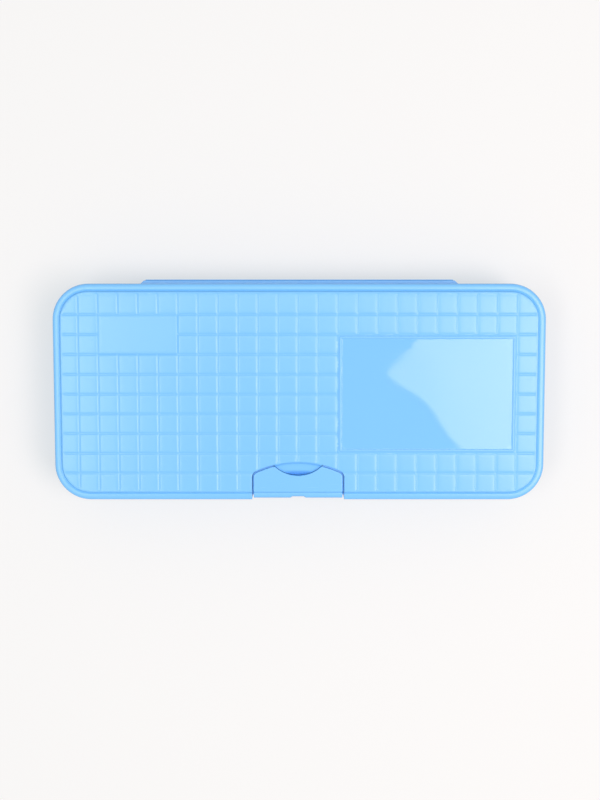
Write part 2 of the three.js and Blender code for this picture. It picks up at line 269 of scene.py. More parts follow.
CORNER_STEPS = 22
LONG_STEPS = 50
SHORT_STEPS = 18
FRONT_STEPS = 22
ARCH_STEPS = 22
TONGUE_STEPS = 32
NOSE_STEPS = 5
RIM_STOPS = [0.09, 0.35, 0.74, 1.2]
STEP_STOPS = [2, 2.35, 2.5, 2.65, 2.8, 2.95, 3.1, 3.25, 3.4, 3.55, 3.7]
# Distances in from the front at which an alcove side is divided, so that the lid's steps are followed.
SIDE_STOPS = RIM_STOPS + STEP_STOPS + [5, 6.8, 8.6]


def alcove_angles(margin):
    """Where the small corners end and the arch starts, seen from the arch's centre."""
    side = ALCOVE_WIDTH / 2 + margin
    corner = ALCOVE_CORNER + margin
    corner_x = side - corner
    corner_rise = math.sqrt((ALCOVE_ARCH_RADIUS + margin - corner) ** 2 - corner_x**2)
    return corner_x, corner_rise, math.degrees(math.atan2(corner_rise, corner_x))


def tongue_tip(radius, margin):
    """Half the width of a disc round the scoop's centre, where it crosses the arch, and that place's Y."""
    arch = ALCOVE_ARCH_RADIUS + margin
    apart = SCOOP_Y - ARCH_Y
    along = (arch**2 - radius**2 + apart**2) / (2 * apart)
    return math.sqrt(arch**2 - along**2), ARCH_Y + along


def alcove_path(margin, nose, tongue=0):
    """The alcove's edge from its right side over the arch to its left side, grown by a margin.

    Each side starts in a rounded nose at the front. With a tongue radius the middle follows that disc.
    """
    side = ALCOVE_WIDTH / 2 + margin
    corner = ALCOVE_CORNER + margin
    corner_x, corner_rise, lean = alcove_angles(margin)
    front = FRONT_Y + margin
    right = arc(side + nose, front + nose, nose, 270, 180, NOSE_STEPS)
    corner_y = ARCH_Y + corner_rise
    for stop in SIDE_STOPS:
        right.append((side, max(FRONT_Y + stop, front + nose + 0.002 * len(right))))
    right += arc(corner_x, corner_y, corner, 0, lean, 7)
    half, tip_y = tongue_tip(TONGUE_RADIUS, margin)
    arch_radius = ALCOVE_ARCH_RADIUS + margin
    tip_angle = math.degrees(math.atan2(tip_y - ARCH_Y, half))
    right += arc(0, ARCH_Y, arch_radius, lean, tip_angle, ARCH_STEPS)[1:]
    over = arc(0, ARCH_Y, arch_radius, tip_angle, 180 - tip_angle, TONGUE_STEPS)[1:-1]
    if tongue:
        disc_half, disc_y = tongue_tip(tongue, margin)
        first = math.degrees(math.atan2(disc_y - SCOOP_Y, disc_half))
        over = arc(0, SCOOP_Y, tongue, first, -180 - first, TONGUE_STEPS)[1:-1]
    left = [(-x, y) for x, y in reversed(right)]
    return [(ALCOVE_X + x, y) for x, y in right + over + left]


def body_path(inset):
    """The case's edge, clockwise from beside the alcove's left nose to beside its right one."""
    radius = CORNER_RADIUS - inset
    x = CASE_LENGTH / 2 - CORNER_RADIUS
    y = CASE_DEPTH / 2 - CORNER_RADIUS
    start = ALCOVE_WIDTH / 2 + inset + 3
    points = [(px, FRONT_Y + inset) for px in even(ALCOVE_X - start, -x, FRONT_STEPS)[:-1]]
    points += arc(-x, -y, radius, 270, 180, CORNER_STEPS)
    points += [(-CASE_LENGTH / 2 + inset, py) for py in even(-y, y, SHORT_STEPS)[1:-1]]
    points += arc(-x, y, radius, 180, 90, CORNER_STEPS)
    points += [(px, BACK_Y - inset) for px in even(-x, x, LONG_STEPS)[1:-1]]
    points += arc(x, y, radius, 90, 0, CORNER_STEPS)
    points += [(CASE_LENGTH / 2 - inset, py) for py in even(y, -y, SHORT_STEPS)[1:-1]]
    points += arc(x, -y, radius, 0, -90, CORNER_STEPS)
    points += [(px, FRONT_Y + inset) for px in even(x, ALCOVE_X + start, FRONT_STEPS)[1:]]
    return points


def case_loop(inset, nose=NOSE, tongue=0):
    """The whole edge with the alcove cut out, moved in by an inset, anticlockwise from above."""
    return list(reversed(body_path(inset) + alcove_path(inset, nose, tongue)))


def plain_loop(inset):
    """The same count of points, with the alcove's stretch laid straight along the front."""
    count = len(alcove_path(0, NOSE))
    half = ALCOVE_WIDTH / 2 + NOSE
    straight = [(x, FRONT_Y + inset) for x in even(ALCOVE_X + half, ALCOVE_X - half, count)]
    return list(reversed(body_path(inset) + straight))


# ---- heights of the lid's top ----

def edge_drop(distance, radius):
    """How far a rounded edge lies below the flat it ends, at a distance in from it."""
    share = np.clip(distance / radius, 0, 1)
    return radius * (1 - np.sqrt(1 - (1 - share) ** 2))


def ease(share):
    share = np.clip(share, 0, 1)
    return share * share * (3 - 2 * share)


def column_x(line):
    return GRID_SHIFT + (line - GRID_COLUMNS / 2) * GRID_PITCH


def row_y(line):
    return GRID_ROW_SHIFT + (GRID_ROWS / 2 - line) * GRID_PITCH


# Smooth fields of the grid: left, right, front and back.
NAME_PLATE = (column_x(14), column_x(23), row_y(8), row_y(2))
BLANK_FIELD = (column_x(2), column_x(6), row_y(3), row_y(1))
BEAD_FIELD = [side + sign * GROOVE_WIDTH / 2 for side, sign in zip(NAME_PLATE, (1, -1, 1, -1))]


def inside_rectangle(x, y, field, radius):
    """How deep a place lies inside a rectangle with rounded corners."""
    left, right, front, back = field
    across = np.abs(x - (left + right) / 2) - (right - left) / 2 + radius
    along = np.abs(y - (front + back) / 2) - (back - front) / 2 + radius
    outer = np.hypot(np.maximum(across, 0), np.maximum(along, 0))
    return radius - outer - np.minimum(np.maximum(across, along), 0)


def inside_case(x, y):
    field = (-CASE_LENGTH / 2, CASE_LENGTH / 2, FRONT_Y, BACK_Y)
    return inside_rectangle(x, y, field, CORNER_RADIUS)


def from_alcove(x, y):
    """How far a place lies outside the alcove, below zero inside it."""
    u = np.abs(x - ALCOVE_X)
    corner_x, corner_rise, lean = alcove_angles(0)
    across = u - corner_x
    along = y - ARCH_Y - corner_rise
    round_corner = np.hypot(across, along) - ALCOVE_CORNER
    arch = np.hypot(u, y - ARCH_Y) - ALCOVE_ARCH_RADIUS
    at_corner = (along > 0) & (np.arctan2(along, across) < math.radians(lean))
    beside = np.where(at_corner, round_corner, arch)
    return np.where(along <= 0, np.maximum(u - ALCOVE_WIDTH / 2, np.where(u < corner_x, arch, -9)), beside)


def from_latch_edge(x, y):
    """The same for the lid with its tongue in the scoop."""
    return np.maximum(from_alcove(x, y), TONGUE_RADIUS - np.hypot(x - ALCOVE_X, y - SCOOP_Y))


def groove_shape(away, width=GROOVE_WIDTH):
    """The section of one groove, one at its middle and zero at its sides."""
    return 0.5 + 0.5 * np.cos(np.pi * np.clip(np.abs(away) / (width / 2), 0, 1))


def stepped_height(inside, line_depth=STEP_LINE_DEPTH):
    """Band, sloped step and panel, by the distance in from the case's edge."""
    step = ease((inside - BAND_WIDTH + 0.05) / (PANEL_SLOPE + 0.1))
    line = line_depth * groove_shape(inside - BAND_WIDTH + 0.1, STEP_LINE_WIDTH)
    return BAND_Z + PANEL_RISE * step - line - edge_drop(inside, RIM_EDGE)


def within(place, low, high):
    return (place > low) & (place < high)


def thumb_field(x, y):
    """One over the hollow behind the scoop, zero over the rest of the lid."""
    before = ALCOVE_ARCH_RADIUS - np.hypot(x - ALCOVE_X, y - ARCH_Y)
    within_tongue = TONGUE_RADIUS - np.hypot(x - ALCOVE_X, y - SCOOP_Y)
    return ease(before / 0.5 + 0.5) * ease(within_tongue / 0.5 + 0.6)


def grid_depth(x, y, inside):
    """Grooves between the cells, and the crown of each cell."""
    column = np.round((x - GRID_SHIFT) / GRID_PITCH + GRID_COLUMNS / 2)
    row = np.round(GRID_ROWS / 2 - (y - GRID_ROW_SHIFT) / GRID_PITCH)
    across = x - column_x(column)
    along = y - row_y(row)
    cut_x = groove_shape(across) * within(column, 0, GRID_COLUMNS)
    cut_y = groove_shape(along) * within(row, 0, GRID_ROWS)
    crown = 1
    for left, right, front, back in (NAME_PLATE, BLANK_FIELD):
        in_x = within(x, left, right)
        in_y = within(y, front, back)
        hidden = in_x & in_y
        cut_x = np.where(hidden & within(column_x(column), left + 1, right - 1), 0, cut_x)
        cut_y = np.where(hidden & within(row_y(row), front + 1, back - 1), 0, cut_y)
        crown = crown * ~hidden
    border = [np.maximum(CELL_BORDER - np.abs(away), 0) ** 2 for away in (across, along)]
    drop = CELL_FALL * crown * (border[0] + border[1])
    ends = ease((inside - BAND_WIDTH - 0.8) / 0.9)
    ends = ends * (1 - thumb_field(x, y))
    return (GROOVE_DEPTH * np.maximum(cut_x, cut_y) + drop) * ends


def plate_height(x, y):
    """The bead round the name plate, and the plate's slight unevenness inside it."""
    inside = inside_rectangle(x, y, BEAD_FIELD, BEAD_CORNER)
    bead = BEAD_HEIGHT * ease(inside / BEAD_FLANK) * ease((BEAD_WIDTH - inside) / BEAD_FLANK)
    uneven = -SAG_DEPTH * np.sin(2 * np.pi * (x - SAG_X) / SAG_LENGTH) * ease((y - SAG_Y) / SAG_REACH)
    uneven += SWELL_HEIGHT * np.exp(-((x - SWELL_X) ** 2 + (y - SWELL_Y) ** 2) / (2 * SWELL_RADIUS**2))
    return bead + uneven * ease((inside - BEAD_WIDTH) / PLATE_EASE)


def dimple_depth(x, y):
    """The hollow for a thumb, from the arch's line down to the tongue's tip."""
    reach = ARCH_Y + ALCOVE_ARCH_RADIUS - (SCOOP_Y - TONGUE_RADIUS)
    before = ALCOVE_ARCH_RADIUS - np.hypot(x - ALCOVE_X, y - ARCH_Y) + 0.2
    share = before / reach
    mask = ease((TONGUE_RADIUS - np.hypot(x - ALCOVE_X, y - SCOOP_Y)) / 0.5 + 0.6)
    crease = CREASE_SHARE * ease(before / CREASE_WIDTH)
    steps = crease + FALL_SHARE * np.clip(share, 0, 1) + TIP_SHARE * ease((share - 0.68) / 0.36)
    return DIMPLE_DEPTH * steps * mask


def lid_height(points):
    x, y = np.array(points, float).T
    inside = inside_case(x, y)
    height = stepped_height(inside) - grid_depth(x, y, inside) + plate_height(x, y)
    height -= dimple_depth(x, y)
    return height - edge_drop(from_latch_edge(x, y), FLUSH_EDGE)


# ---- lid ----

# Places across one pitch of the grid, from a groove's middle. The coarse ones also run through smooth fields.
COARSE_STOPS = [0, 1.6, 4.15, 6.7]
FINE_STOPS = [-0.55, -0.3, 0.3, 0.55, 0.95, 2.7, 5.6, 7.35]
# Insets of the lines round the bead, and of the last rows before the panel's step
BEAD_STOPS = [0, 0.12, 0.24, 0.36, 0.48, 0.65, 0.82, 0.94, 1.06, 1.18, 1.3, 1.5]
MARGIN_STOPS = [3.85, 4.05, 4.3, 4.7]
# Distances behind and before the arch at which the dimple is divided, over a fan of this many degrees
CREASE_STOPS = [0.9, 0.6, 0.4, 0.2, 0, -0.2, -0.4, -0.7, -1.1, -1.7, -2.3, -3, -3.7, -4.3]
CREASE_FAN = 33.2


def grid_lines(count, place):
    """All lines of the fine grid in one direction, and which of them are coarse."""
    lines = []
    for line in range(count + 1):
        lines += [(place(line) + stop, True) for stop in COARSE_STOPS]
        lines += [(place(line) + stop, False) for stop in FINE_STOPS]
    return np.array(sorted(lines))


def rectangle_loop(field, radius, inset, spacing=1.4):
    """A rounded rectangle in plan, moved in by an inset, anticlockwise."""
    left, right, front, back = field
    half_x = (right - left) / 2 - radius
    half_y = (back - front) / 2 - radius
    middle_x = (left + right) / 2
    middle_y = (front + back) / 2
    count_x = max(2, round(2 * half_x / spacing))
    count_y = max(2, round(2 * half_y / spacing))
    turn = max(radius - inset, 0.02)
    far_x = half_x + radius - inset - turn
    far_y = half_y + radius - inset - turn
    points = []
    for k, (sx, sy) in enumerate([(1, -1), (1, 1), (-1, 1), (-1, -1)]):
        corner = arc(middle_x + sx * far_x, middle_y + sy * far_y, turn, 90 * k - 90, 90 * k, 6)
        nx, ny = [(1, 1), (-1, 1), (-1, -1), (1, -1)][k]
        count = count_x if k % 2 else count_y
        angle = math.radians(90 * k)
        end = (middle_x + nx * far_x + turn * math.cos(angle), middle_y + ny * far_y + turn * math.sin(angle))
        side = list(zip(even(corner[-1][0], end[0], count), even(corner[-1][1], end[1], count)))
        points += corner + side[1:-1]
    return points


def kept_chains(path, keep):
    """The unbroken stretches of a closed path whose points are kept."""
    start = next(i for i, kept in enumerate(keep) if not kept)
    chains = [[]]
    for i in range(start, start + len(path)):
        if keep[i % len(path)]:
            chains[-1].append(path[i % len(path)])
        elif chains[-1]:
            chains.append([])
    return [chain for chain in chains if chain]


def lid_chains():
    """Lines that the lid's triangles must follow: round the rim, along the step and round the alcove."""
    chains = []
    side = ALCOVE_WIDTH / 2
    for inset in RIM_STOPS + STEP_STOPS:
        left = [(ALCOVE_X - side - gap, FRONT_Y + inset) for gap in (0.47, 0.8, 1.5)]
        right = [(ALCOVE_X + side + gap, FRONT_Y + inset) for gap in (1.5, 0.8, 0.47)]
        chains.append(left + body_path(inset) + right)
    for margin in (0.03, 0.1, 0.2, 0.35):
        path = case_loop(margin, NOSE, TONGUE_RADIUS - margin)
        x, y = np.array(path).T
        near = (from_latch_edge(x, y) < margin + 0.05) & (inside_case(x, y) > 0.06)
        chains += kept_chains(path, near)
    return chains


def lid_surface_points():
    """Loose places for the lid's top surface: the grid's, and those of the dimple."""
    columns = grid_lines(GRID_COLUMNS, column_x)
    rows = grid_lines(GRID_ROWS, lambda line: row_y(GRID_ROWS - line))
    margin = [BACK_Y - inset for inset in MARGIN_STOPS]
    rows = np.vstack([rows, [(sign * y, False) for y in margin for sign in (-1, 1)]])
    x = np.repeat(columns[:, 0], len(rows))
    coarse = np.repeat(columns[:, 1], len(rows)) * np.tile(rows[:, 1], len(columns)) > 0
    y = np.tile(rows[:, 0], len(columns))
    plate = inside_rectangle(x, y, BEAD_FIELD, BEAD_CORNER)
    blank = inside_rectangle(x, y, BLANK_FIELD, 0.1)
    smooth = (plate > 0) | (blank > 0.7)
    keep = (inside_case(x, y) > 3.8) & (coarse | ~smooth) & ~within(plate, -0.15, BEAD_STOPS[-1] + 0.4)
    x, y = x[keep], y[keep]
    lens = (np.hypot(x - ALCOVE_X, y - ARCH_Y) < ALCOVE_ARCH_RADIUS + 1.1) & (np.abs(x - ALCOVE_X) < 12)
    keep = (from_latch_edge(x, y) > FLUSH_EDGE + 0.1) & ~lens
    kept = list(zip(x[keep], y[keep]))
    crease = []
    for beyond in CREASE_STOPS:
        radius = ALCOVE_ARCH_RADIUS + beyond
        crease += arc(ALCOVE_X, ARCH_Y, radius, 90 - CREASE_FAN / 2, 90 + CREASE_FAN / 2, 40)
    x, y = np.array(crease).T
    keep = from_latch_edge(x, y) > FLUSH_EDGE + 0.06
    return kept + list(zip(x[keep], y[keep]))


def fill_plane(edge, chains, places):
    """Triangles over a flat region: its edge, lines that must be followed, and loose places."""
    points = list(edge)
    links = [(i, (i + 1) % len(edge)) for i in range(len(edge))]
    for chain in chains:
        first = len(points)
        points += chain
        links += [(first + i, first + i + 1) for i in range(len(chain) - 1)]
    points += places
    flat = [Vector(point) for point in points]
    made = geometry.delaunay_2d_cdt(flat, links, [], 1, 1e-6)
    made_points, made_faces, origins = made[0], made[2], made[3]
    numbers = [min(origin) if origin else None for origin in origins]
    return made_points, made_faces, numbers


def reused(shell, row, numbers):
    """Adds a row's points, but keeps the earlier number of each that lies where it did."""
    made = []
    for point, number in zip(row, numbers):
        apart = max(abs(a - b) for a, b in zip(point, shell.points[number]))
        made.append(number if apart < 1e-6 else shell.add([point])[0])
    return made


def quarter_round(inset, z, radius, inward, upward, steps=5):
    """Insets and heights round a quarter circle, from level with its centre to over or under it."""
    stops = []
    for angle in even(0, math.pi / 2, steps):
        stops.append((inset + inward * radius * (1 - math.cos(angle)), z + upward * radius * math.sin(angle)))
    return stops


def lid_wall_stops():
    """Insets and heights from the lid's ceiling down inside its wall, round the foot and up outside."""
    ceiling = PANEL_Z - PANEL_THICKNESS
    low_ceiling = BAND_Z - BAND_THICKNESS
    room = BAND_WIDTH + PANEL_THICKNESS
    stops = [(room + 1, ceiling), (room + 0.5, ceiling), (room + 0.15, ceiling - 0.1), (room, ceiling - 0.35)]
    stops += [(room, low_ceiling + 0.2), (room - 0.2, low_ceiling), (room - 0.6, low_ceiling)]
    stops += reversed(quarter_round(WALL, low_ceiling - 0.8, 0.8, 1, 1))
    stops += [(WALL, LID_Z + 0.25), (WALL - 0.08, LID_Z + 0.08), (WALL - 0.25, LID_Z)]
    stops += [(0.25, LID_Z), (0.08, LID_Z + 0.08), (0, LID_Z + 0.25), (0, TONGUE_LOW)]
    return stops


def wall_rows(stops):
    """The case's edge at each inset and height, with a wider nose inside the walls."""
    return [at_height(case_loop(inset, CAVITY_NOSE if inset > 1 else NOSE), z) for inset, z in stops]


def lid_piece():
    """The lid's walls and tongue, and its top laid over them as one net of triangles."""
    shell = Shell()
    first, under = shell.loft(wall_rows(lid_wall_stops()))
    shell.close(first, turned=True)
    tongue = at_height(case_loop(0, NOSE, TONGUE_RADIUS - 0.2), TONGUE_LOW)
    tip = reused(shell, tongue, under)
    shell.strip(under, tip)
    outline = case_loop(0, NOSE, TONGUE_RADIUS)
    low = shell.add(at_height(outline, TONGUE_LOW + 0.2))
    shell.strip(tip, low)
    edge = shell.add([(x, y, z) for (x, y), z in zip(outline, lid_height(outline))])
    shell.strip(low, edge)
    beads = [rectangle_loop(BEAD_FIELD, BEAD_CORNER, inset) for inset in BEAD_STOPS]
    chains = lid_chains() + [bead + bead[:1] for bead in beads]
    points, faces, numbers = fill_plane(outline, chains, lid_surface_points())
    heights = lid_height([tuple(point) for point in points])
    named = {}
    for k, point in enumerate(points):
        on_edge = numbers[k] is not None and numbers[k] < len(edge)
        named[k] = edge[numbers[k]] if on_edge else shell.add([(point[0], point[1], heights[k])])[0]
    shell.faces += [[named[k] for k in face] for face in faces]
    return shell


def tray_wall_stops():
    """Insets and heights from the alcove's ledge up outside the tray, over its lip and down to its floor."""
    lip_top = BASE_HEIGHT + LIP_RISE
    stops = [(0, ALCOVE_FLOOR + 0.4), (0, EDGE_Z - 0.8), (0, EDGE_Z - 0.25), (0.07, EDGE_Z - 0.07)]
    stops += [(0.25, EDGE_Z), (LIP_OUTSIDE - 0.2, EDGE_Z), (LIP_OUTSIDE, EDGE_Z + 0.2)]
    stops += quarter_round(LIP_OUTSIDE, lip_top - 0.4, 0.4, 1, 1)
    stops += reversed(quarter_round(LIP_INSIDE, lip_top - 0.4, 0.4, -1, 1))
    stops += [(LIP_INSIDE, EDGE_Z - LIP_ROOT + 1.2), (WALL, EDGE_Z - LIP_ROOT - 0.3)]
    stops += [(WALL, EDGE_Z - LIP_ROOT - 0.9), (WALL, BASE_FLOOR + 2.1)]
    stops += quarter_round(WALL, BASE_FLOOR + 1.5, 1.5, 1, -1)
    return stops + [(WALL + 2, BASE_FLOOR)]


def tray_piece():
    """The tray's rounded underside, the alcove's ledge, and its walls and floor."""
    shell = Shell()
    rows = [at_height(plain_loop(inset), 0) for inset in (4, 3)]
    for angle in even(0, math.pi / 2, 7):
        turned_in = BASE_EDGE - BASE_EDGE * math.sin(angle)
        rows.append(at_height(plain_loop(turned_in), BASE_EDGE - BASE_EDGE * math.cos(angle)))
    rows.append(at_height(plain_loop(0), ALCOVE_FLOOR))
    first, ledge = shell.loft(rows)
    shell.close(first, turned=True)
    wall = reused(shell, at_height(case_loop(0), ALCOVE_FLOOR), ledge)
    shell.strip(ledge, wall)
    upper = [shell.add(row) for row in wall_rows(tray_wall_stops())]
    for low, high in zip([wall] + upper, upper):
        shell.strip(low, high)
    shell.close(upper[-1])
    return shell


def slab(field, radius, profile, lean=0, rim=0.08):
    """A rounded block in plan that follows a list of insets and heights upwards. Lean slants its ends.

    A narrow level rim at the bottom and the top keeps both flat.
    """
    rows = []
    low, high = profile[0], profile[-1]
    profile = [(low[0] + rim, low[1])] + profile + [(high[0] + rim, high[1])]
    for inset, z in profile:
        loop = rectangle_loop(field, radius, inset, 4)
        rows.append([(x - lean * math.copysign(1, x) * (y - field[2]), y, z) for x, y in loop])
    return Shell().solid(rows)


def partition_pieces():
    """One long wall and two short ones in the tray, each thicker at its foot, with a rounded top."""
    top = EDGE_Z - PARTITION_DROP
    half = PARTITION / 2
    foot = BASE_FLOOR - 0.3
    profile = [(-1, foot), (-0.95, BASE_FLOOR), (-0.55, BASE_FLOOR + 0.15), (-0.2, BASE_FLOOR + 0.5)]
    profile += [(-0.05, BASE_FLOOR + 1.1), (0, BASE_FLOOR + 2), (0, BASE_FLOOR + 2.6), (0, top - 1)]
    profile += quarter_round(0, top - 0.45, 0.45, 1, 1)
    reach = CASE_LENGTH / 2 - WALL - 0.3
    side = ALCOVE_WIDTH / 2 + WALL - half - PARTITION_CLEAR
    made = {"partition_long": slab((-reach, reach, PARTITION_Y - half, PARTITION_Y + half), 0.05, profile)}
    for name, x in (("partition_left", ALCOVE_X - side), ("partition_right", ALCOVE_X + side)):
        made[name] = slab((x - half, x + half, FRONT_Y + WALL, PARTITION_Y), 0.05, profile)
    return made


def boss_pieces():
    """The two blocks beside the alcove that hold the pin's ends."""
    made = {}
    side = ALCOVE_WIDTH / 2
    top = PIVOT_Z + 2 * BARREL_RADIUS
    for name, way in (("pin_boss_left", -1), ("pin_boss_right", 1)):
        ends = sorted([ALCOVE_X + way * (side + 0.2), ALCOVE_X + way * (side + PIN_BOSS)])
        field = (*ends, FRONT_Y + WALL / 2, PIVOT_Y + 2 * BARREL_RADIUS)
        profile = [(0, BASE_FLOOR / 2)] + quarter_round(0, top - 0.6, 0.6, 1, 1)
        made[name] = slab(field, 0.9, profile)
    return made


def flange_piece(low, high):
    """A strip along the back with slanted ends, on which the film hinge is moulded."""
    half = HINGE_LENGTH / 2 + FLANGE_ROOT
    field = (-half, half, BACK_Y - FLANGE_ROOT, BACK_Y + FLANGE_PROUD)
    profile = list(reversed(quarter_round(0, low + FLANGE_EDGE, FLANGE_EDGE, 1, -1, 4)))
    profile += quarter_round(0, high - FLANGE_EDGE, FLANGE_EDGE, 1, 1, 4)
    return slab(field, 0.3, profile, lean=1)


def film_piece():
    """The thin strip behind both flanges, divided closely along its height."""
    half = HINGE_LENGTH / 2 - FILM_SIDE
    face = BACK_Y + FLANGE_PROUD
    low = EDGE_Z - FLANGE_HEIGHT
    high = LID_Z + FLANGE_HEIGHT
    profile = [(0.12, low), (0, low + 0.12)]
    profile += [(0, z) for z in even(low + 0.3, high - 0.3, 21)]
    profile += [(0, high - 0.12), (0.12, high)]
    return slab((-half, half, face, face + FILM_THICKNESS), 0.1, profile, rim=0.03)


# ---- latch ----

EDGE_STOPS = [0, 0.03, 0.1, 0.2, 0.35]


def latch_rear(across):
    """The Y of the latch's rear edge at a distance from its middle, and how squarely it faces the rear."""
    arch = ALCOVE_ARCH_RADIUS - ALCOVE_GAP
    tip = tongue_tip(SCOOP_RADIUS, -ALCOVE_GAP)[0]
    corner_x, corner_rise, lean = alcove_angles(-ALCOVE_GAP)
    u = abs(across)
    if u < tip:
        rise = math.sqrt(SCOOP_RADIUS**2 - u**2)
        return SCOOP_Y - rise, rise / SCOOP_RADIUS
    if u < corner_x + (ALCOVE_CORNER - ALCOVE_GAP) * math.cos(math.radians(lean)):
        rise = math.sqrt(arch**2 - u**2)
        return ARCH_Y + rise, rise / arch
    radius = ALCOVE_CORNER - ALCOVE_GAP
    rise = math.sqrt(max(radius**2 - (u - corner_x) ** 2, 0))
    return ARCH_Y + corner_rise + rise, max(rise / radius, 0.25)


def latch_top(rear, facing, front, side):
    """The top of the latch's section from its rear edge to its front one, at a distance in from its side."""
    side_drop = float(edge_drop(side, FLUSH_EDGE))
    tops = [(rear - e / facing, float(edge_drop(e, FLUSH_EDGE))) for e in EDGE_STOPS]
    tops += [(y, 0) for y in even(rear - 0.6 / facing, FRONT_Y + 4, 7)]
    tops += [(FRONT_Y + stop, 0) for stop in reversed(STEP_STOPS[1:])]
    tops += [(front + RIM_EDGE * (1 - math.sin(angle)), 0) for angle in even(0, math.pi / 2, 7)]
    points = []
    for y, drop in tops:
        level = stepped_height(max(y - FRONT_Y, RIM_EDGE), LATCH_STEP_LINE)
        z = level - edge_drop(max(y - front, 0), RIM_EDGE)
        points.append((y, float(z) - max(drop, side_drop)))
    return points


def latch_section(across):
    """The latch's outline at a distance from its middle: top, front, barrel, inside and underside."""
    rear, facing = latch_rear(across)
    side = LATCH_HALF - abs(across)
    half = CHANNEL_WIDTH / 2
    channel = CHANNEL_DEPTH * float(ease((half + 0.15 - abs(across)) / (CHANNEL_SLOPE + 0.3)))
    front = LATCH_FRONT + channel + float(edge_drop(side, 0.3))
    points = latch_top(rear, facing, front, side)
    points += [(front, z) for z in (26, 22, 18, 14, 10, PIVOT_Z + 1)]
    barrel = arc(PIVOT_Y, PIVOT_Z, BARREL_RADIUS, 180, 460, 22)
    points += [(max(y, front), z) for y, z in barrel]
    inside = LATCH_FRONT + LATCH_SKIRT
    under = BAND_Z - LATCH_BAND_PLATE
    points += [(inside, z) for z in (PIVOT_Z + 2.4, 12, 18, 24, under - 0.6)]
    points += [(inside + 0.18, under - 0.18), (inside + 0.6, under), (FRONT_Y + BAND_WIDTH + 0.3, under)]
    high = PANEL_Z - LATCH_PLATE
    points += [(FRONT_Y + BAND_WIDTH + 0.7, high), (rear - 0.2 / facing, high), (rear, high + 0.2)]
    return points


def latch_places():
    """Distances across the latch at which its section is taken, closer where it changes."""
    tip = tongue_tip(SCOOP_RADIUS, -ALCOVE_GAP)[0]
    half = CHANNEL_WIDTH / 2
    right = [LATCH_HALF - e for e in EDGE_STOPS + [0.5, 0.65, 0.8, 1]]
    right += even(LATCH_HALF - 1.6, tip + 0.4, 12) + [tip + 0.15, tip, tip - 0.15]
    right += even(tip - 0.6, half + 0.9, 9) + even(half + 0.5, half - CHANNEL_SLOPE - 0.4, 12) + [1.4, 0.7]
    return sorted([-u for u in right] + [0] + right)


def latch_piece():
    """Plate, skirt and barrel in one, through the sections across the latch."""
    return Shell().solid([[(ALCOVE_X + u, y, z) for y, z in latch_section(u)] for u in latch_places()])


def rebate_piece(way):
    """The thin rebate along one side of the latch and round to its scoop, which nearly closes the gap."""
    inner = alcove_path(-ALCOVE_GAP - 0.3, NOSE)
    outer = alcove_path(-REBATE_GAP, NOSE)
    first = NOSE_STEPS + len(RIM_STOPS)
    last = (len(inner) - TONGUE_STEPS + 2) // 2 - 1
    rows = []
    for near, far in zip(inner[first:last], outer[first:last]):
        top = float(stepped_height(far[1] - FRONT_Y)) - REBATE_DEPTH
        low = top - REBATE_THICKNESS
        rows.append([(*near, top), (*far, top), (*far, low), (*near, low)])
    if way < 0:
        rows = [[(2 * ALCOVE_X - x, y, z) for x, y, z in row] for row in reversed(rows)]
    return Shell().solid(rows)


def turned(stations, y, z, sides=28):
    """A round piece along X, by its places and radii."""
    rows = []
    for x, radius in stations:
        rows.append([(x, py, pz) for py, pz in arc(y, z, radius, 0, 360 - 360 / sides, sides)])
    return Shell().solid(rows)


def pin_piece():
    """The wire from boss to boss, with its ends broken."""
    reach = ALCOVE_WIDTH / 2 + PIN_SEAT - PIN_END_GAP
    ends = [(reach, PIN_RADIUS - 0.2), (reach - 0.06, PIN_RADIUS - 0.06), (reach - 0.2, PIN_RADIUS)]
    stations = [(ALCOVE_X - x, r) for x, r in ends]
    stations += [(ALCOVE_X + u, PIN_RADIUS) for u in even(-reach + 1, reach - 1, 9)]
    stations += [(ALCOVE_X + x, r) for x, r in reversed(ends)]
    return turned(stations, PIVOT_Y, PIVOT_Z)


def snap_ball_piece(way):
    """The ball on one side of the latch that snaps into the alcove's socket."""
    middle = ALCOVE_X + way * (LATCH_HALF + SNAP_PROUD - SNAP_RADIUS)
    stations = []
    for angle in even(-85, 85, 19):
        turn = math.radians(angle)
        stations.append((middle + SNAP_RADIUS * math.sin(turn), SNAP_RADIUS * math.cos(turn)))
    return turned(stations, FRONT_Y + SNAP_FROM_FRONT, PANEL_Z - SNAP_BELOW_TOP)


def cheek_piece(way):
    """A stiffening cheek under one side of the latch's plate, with rounded edges."""
    under = PANEL_Z - LATCH_PLATE
    inside = LATCH_FRONT + LATCH_SKIRT
    rear = FRONT_Y + CHEEK_LENGTH - 0.6
    outline = [
        (inside - LATCH_SKIRT / 2, under + LATCH_PLATE / 2),
        (inside - LATCH_SKIRT / 2, under - CHEEK_DROP),
        (inside + LATCH_SKIRT, under - CHEEK_DROP),
        (rear, under - LATCH_PLATE),
        (rear, under + LATCH_PLATE / 2),
    ]
    middle = np.mean(outline, axis=0)
    outer = LATCH_HALF - 0.02
    inner = outer - CHEEK
    rounding = [(inner, 0.25), (inner + 0.08, 0.08), (inner + 0.25, 0)]
    rounding += [(outer - 0.25, 0), (outer - 0.08, 0.08), (outer, 0.25)]
    rows = []
    for depth, shrink in rounding:
        row = []
        for away in np.array(outline) - middle:
            y, z = middle + away * (1 - shrink / math.hypot(*away))
            row.append((ALCOVE_X + way * depth, y, z))
        rows.append(row)
    if way < 0:
        rows.reverse()
    return Shell().solid(rows)


# ---- materials ----

